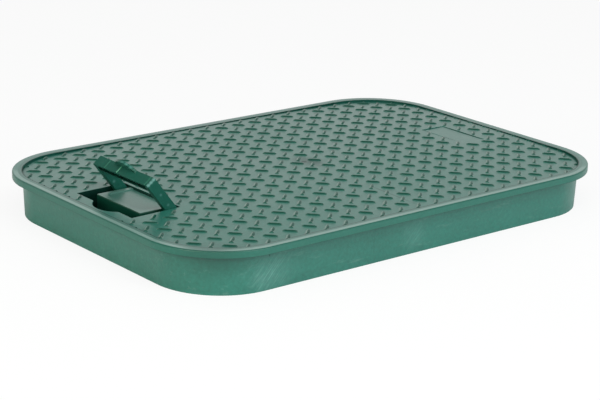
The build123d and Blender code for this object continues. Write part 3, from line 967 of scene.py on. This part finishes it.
class VBL_OT_handle(bpy.types.Operator):
    """Dress the lift handle: rounded small edges, its own plastic with painted shade and highlights, and
    witness lines with painted highlights
    """
    bl_idname = "vbl.handle"
    bl_label = "Lift handle"

    def execute(self, context):
        settings = context.scene.vbl_lid
        for number, (y, width, proud, colour) in enumerate(WITNESS_LINES, 1):
            deselect()
            bpy.ops.mesh.primitive_cube_add(size=1.0, location=(0, 0, 0))
            line = context.object
            bpy.ops.object.mode_set(mode="EDIT")
            bpy.ops.transform.resize(value=(LINE_DEPTH, width, HANDLE_THICKNESS - LINE_END_GAP))
            bpy.ops.mesh.select_all(action="SELECT")
            bpy.ops.mesh.bevel(offset=LINE_EDGE, segments=2, affect="EDGES")
            bpy.ops.object.mode_set(mode="OBJECT")
            reach = HANDLE_REACH - LINE_DEPTH / 2 + proud
            line.matrix_world = handle_matrix() @ Matrix.Translation((reach, y, 0))
            finish_mesh(line, "witness_line_%d" % number)
            replace_material(line, plastic(
                "witness_green_%d" % number, colour, roughness=0.25, mottle=0.1, scuff=0.0, grain=0.1,
                gloss=0.5))
            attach(line, "handle")
        handle = merged_copy("lift_handle", "handle_shell", settings.edge_round)
        replace_material(handle, plastic(
            "handle_green", settings.handle_plastic, roughness=0.30, mottle=0.2, scuff=0.1, grain=0.2,
            gloss=0.16, marks=handle_shade_and_highlights))
        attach(handle, "handle")
        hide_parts("lift_handle")
        return {"FINISHED"}


def soft_lamp(name, place, target, size, power, colour):
    """A rectangular soft lamp aimed at a point."""
    data = bpy.data.lights.new(name, "AREA")
    data.shape = "RECTANGLE"
    data.size, data.size_y = size
    data.energy = power
    data.color = colour
    lamp = bpy.data.objects.new(name, data)
    lamp.location = place
    aim = Vector(target) - Vector(place)
    lamp.rotation_euler = aim.to_track_quat("-Z", "Y").to_euler()
    bpy.context.scene.collection.objects.link(lamp)


def floor_paint(colour):
    """A pale floor that the camera sees as nearly white, and that keeps the object's shadow."""
    paint = bpy.data.materials.new("floor_white")
    paint.use_nodes = True
    tree = paint.node_tree
    tree.nodes.clear()
    surface = node(tree, "ShaderNodeBsdfPrincipled", {
        "Base Color": (*colour, 1.0), "Roughness": FLOOR_ROUGHNESS, "Specular IOR Level": FLOOR_SHINE})
    glow = node(tree, "ShaderNodeEmission", {"Color": WHITE, "Strength": 1.0})
    seen = node(tree, "ShaderNodeLightPath").outputs["Is Camera Ray"]
    blend = node(tree, "ShaderNodeMixShader", {"Fac": maths(tree, "MULTIPLY", seen, FLOOR_GLOW)})
    feed(tree, surface.outputs["BSDF"], blend.inputs[1])
    feed(tree, glow.outputs["Emission"], blend.inputs[2])
    arrange(tree, node(tree, "ShaderNodeOutputMaterial", {"Surface": blend.outputs["Shader"]}))
    return paint


def background(tree, strength):
    """White light from all round."""
    return node(tree, "ShaderNodeBackground", {"Color": WHITE, "Strength": strength}).outputs["Background"]


def paint_sky(world, strength, ceiling):
    """Soft light from all round; reflections see a bright band above the horizon and a dimmer ceiling."""
    world.use_nodes = True
    tree = world.node_tree
    tree.nodes.clear()
    direction = node(tree, "ShaderNodeTexCoord").outputs["Generated"]
    up = node(tree, "ShaderNodeSeparateXYZ", {"Vector": direction}).outputs["Z"]
    band = node(tree, "ShaderNodeMapRange", {
        "Value": up, "From Min": CEILING_BAND[0], "From Max": CEILING_BAND[1],
        "To Min": 1.0, "To Max": ceiling,
    }, interpolation_type="SMOOTHSTEP").outputs["Result"]
    path = node(tree, "ShaderNodeLightPath").outputs
    sky = background(tree, strength)
    for ray, seen in (("Is Glossy Ray", background(tree, band)), ("Is Camera Ray", background(tree, 1.0))):
        mix = node(tree, "ShaderNodeMixShader", {"Fac": path[ray]})
        feed(tree, sky, mix.inputs[1])
        feed(tree, seen, mix.inputs[2])
        sky = mix.outputs["Shader"]
    arrange(tree, node(tree, "ShaderNodeOutputWorld", {"Surface": sky}))


class VBL_OT_stage(bpy.types.Operator):
    """Set the floor, the soft light and the camera"""
    bl_idname = "vbl.stage"
    bl_label = "Stage"

    def execute(self, context):
        settings = context.scene.vbl_stage
        deselect()
        bpy.ops.mesh.primitive_plane_add(size=FLOOR_SIZE, location=(0, 0, 0))
        floor = context.object
        floor.name = "floor"
        bpy.ops.object.transform_apply(location=True, rotation=True, scale=True)
        replace_material(floor, floor_paint(settings.floor_colour))

        world = context.scene.world or bpy.data.worlds.new("World")
        context.scene.world = world
        paint_sky(world, settings.sky_strength, settings.ceiling)
        for lamp in LAMPS:
            soft_lamp(*lamp)

        data = bpy.data.cameras.new("camera")
        data.lens = settings.lens
        data.sensor_width = SENSOR_WIDTH
        data.clip_start = CLIP_START
        camera = bpy.data.objects.new("camera", data)
        right = Vector(CAMERA_RIGHT).normalized()
        back = Vector(CAMERA_BACK).normalized()
        up = back.cross(right).normalized()
        turn = Matrix((right, up, back)).transposed().to_4x4()
        camera.matrix_world = Matrix.Translation(CAMERA_PLACE) @ turn
        context.scene.collection.objects.link(camera)
        context.scene.camera = camera
        context.scene.view_settings.view_transform = "Standard"
        return {"FINISHED"}


class VBL_PT_panel(bpy.types.Panel):
    bl_idname = "VBL_PT_panel"
    bl_label = "Valve Box Lid"
    bl_space_type = "VIEW_3D"
    bl_region_type = "UI"
    bl_category = "Valve Box Lid"

    def draw(self, context):
        for group, names, operators in (
            ("vbl_lid", "edge_round plastic handle_plastic roughness", "vbl.shell vbl.handle"),
            ("vbl_treads", "pitch length width height colour roughness", "vbl.treads"),
            ("vbl_stage", "floor_colour sky_strength ceiling lens", "vbl.stage"),
        ):
            box = self.layout.box()
            for name in names.split():
                box.prop(getattr(context.scene, group), name)
            for operator in operators.split():
                box.operator(operator)


CLASSES = (
    VBL_LidSettings,
    VBL_TreadSettings,
    VBL_StageSettings,
    VBL_OT_shell,
    VBL_OT_treads,
    VBL_OT_handle,
    VBL_OT_stage,
    VBL_PT_panel,
)


def register():
    for item in CLASSES:
        bpy.utils.register_class(item)
    bpy.types.Scene.vbl_lid = bpy.props.PointerProperty(type=VBL_LidSettings)
    bpy.types.Scene.vbl_treads = bpy.props.PointerProperty(type=VBL_TreadSettings)
    bpy.types.Scene.vbl_stage = bpy.props.PointerProperty(type=VBL_StageSettings)


def unregister():
    del bpy.types.Scene.vbl_stage
    del bpy.types.Scene.vbl_treads
    del bpy.types.Scene.vbl_lid
    for item in reversed(CLASSES):
        bpy.utils.unregister_class(item)


def main():
    register()
    bpy.ops.vbl.shell()
    bpy.ops.vbl.treads()
    bpy.ops.vbl.handle()
    bpy.ops.vbl.stage()


if __name__ == "__main__":
    main()
